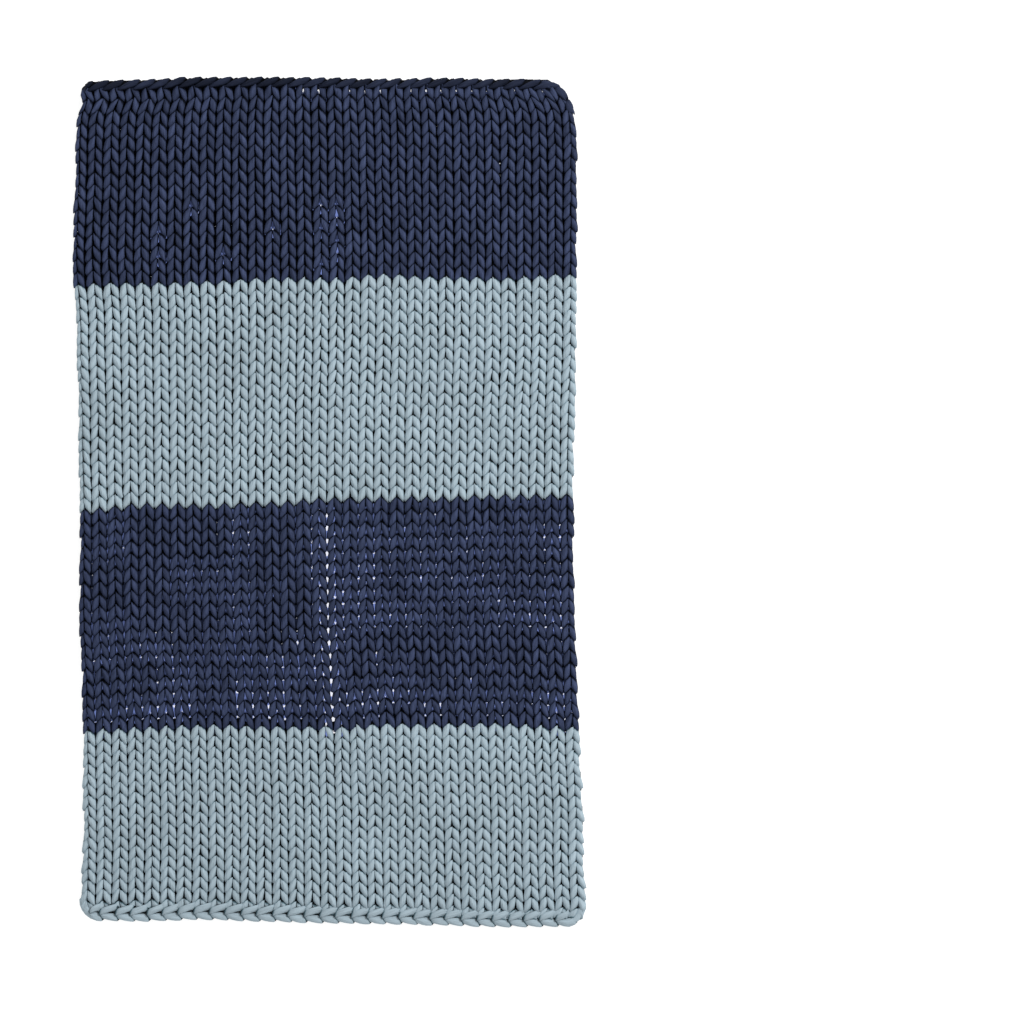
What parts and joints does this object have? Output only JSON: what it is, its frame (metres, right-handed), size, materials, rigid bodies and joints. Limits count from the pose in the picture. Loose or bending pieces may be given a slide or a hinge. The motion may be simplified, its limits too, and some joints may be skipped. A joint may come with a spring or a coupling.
{
  "type": "weighted blanket",
  "caption": "Flat chunky knitted weighted blanket in plain stockinette, with wide dark and pale stripes, a rolled top edge and a chain-like cast-off edge.",
  "frame": {"origin": "under the middle of the blanket's outline, on the flat underside", "axes": "+Z out of the smooth knit side, +Y along the length towards the rolled first edge, +X to the right of it"},
  "size_m": [1.1031, 1.824, 0.033],
  "materials": {
    "navy_yarn": "matt stuffed jersey yarn, navy",
    "grey_blue_yarn": "matt stuffed jersey yarn, grey-blue"
  },
  "bodies": {
    "root": {"blanket": "navy_yarn"}
  },
  "joints": []
}
